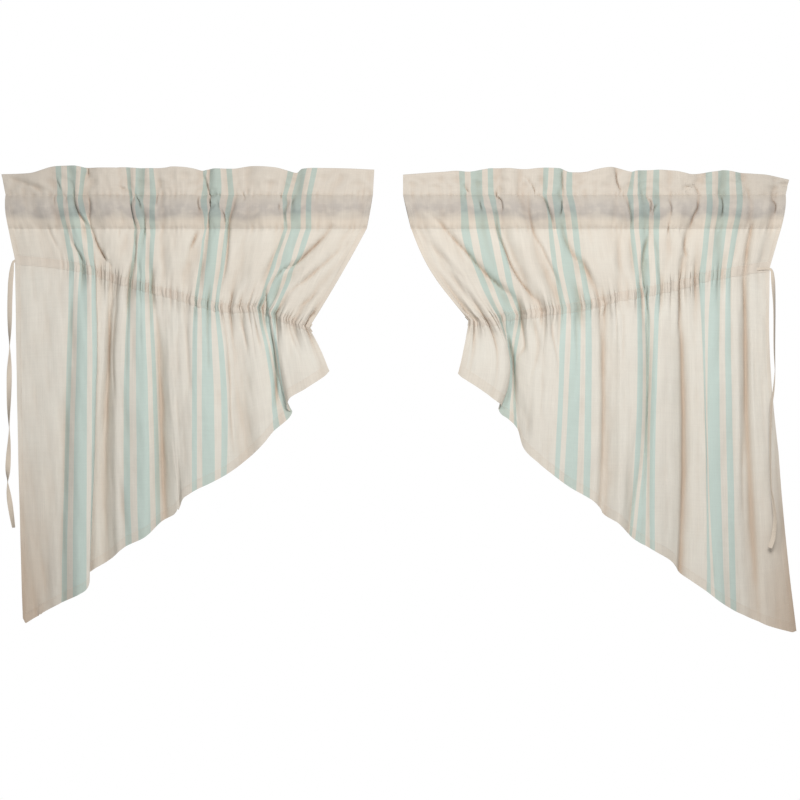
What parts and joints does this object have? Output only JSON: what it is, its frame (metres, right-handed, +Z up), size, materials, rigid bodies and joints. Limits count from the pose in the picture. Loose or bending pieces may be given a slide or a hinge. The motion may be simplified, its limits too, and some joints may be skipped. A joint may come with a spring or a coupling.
{
  "type": "gathered swag valance pair",
  "caption": "Mirrored pair of striped cotton swag valance panels with ruffled header, rod pocket, slanting drawstring casing and flat ties, each hem falling from a short inner edge to a long outer corner.",
  "frame": {"origin": "On the axis of the curtain rod that the pair hangs on, midway between the two panels.", "axes": "X along the rod, to the right as the viewer sees it; Y away from the viewer, into the window; Z up."},
  "size_m": [1.581, 0.0487, 0.9306],
  "materials": {
    "striped_cotton": "plain weave",
    "plain_cotton": "plain weave",
    "cotton_tape": "woven tape"
  },
  "bodies": {
    "root": {"left_panel": "striped_cotton", "right_panel": "striped_cotton", "left_casing": "plain_cotton", "right_casing": "plain_cotton", "left_tie": "cotton_tape", "right_tie": "cotton_tape"}
  },
  "joints": []
}
